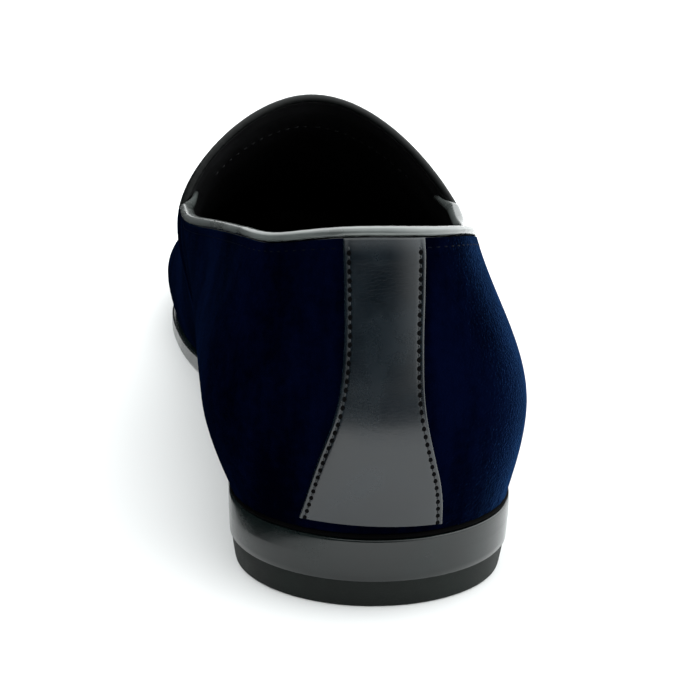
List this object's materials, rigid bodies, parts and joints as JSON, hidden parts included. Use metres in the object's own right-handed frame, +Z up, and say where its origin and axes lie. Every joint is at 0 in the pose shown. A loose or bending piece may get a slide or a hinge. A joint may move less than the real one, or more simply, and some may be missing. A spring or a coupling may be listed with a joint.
{
  "type": "velvet slipper loafer",
  "caption": "Slip-on loafer with a velvet upper and tongue, leather-bound topline, leather strap down the back seam, thin leather sole and low stacked heel.",
  "frame": {"origin": "middle of the shoe's footprint box, on the floor it stands on", "axes": "+Z up, +Y from heel to toe along the heel's centre line, +X to the outer (lateral) side of this right shoe"},
  "size_m": [0.0946, 0.2888, 0.0885],
  "materials": {
    "velvet": "deep navy cotton velvet, soft nap with a blue sheen at grazing angles",
    "binding_leather": "glossy black binding leather",
    "strap_leather": "smooth satin black calf with fine stitching",
    "sock_leather": "matte black lining leather",
    "sole_leather": "black painted and polished sole leather",
    "heel_rubber": "matte dark rubber top lift"
  },
  "bodies": {
    "root": {"upper": "velvet", "topline_binding": "binding_leather", "tongue_binding": "binding_leather", "back_strap": "strap_leather", "insole": "sock_leather", "outsole": "sole_leather", "heel_base": "sole_leather", "heel_top_lift": "heel_rubber"}
  },
  "joints": []
}
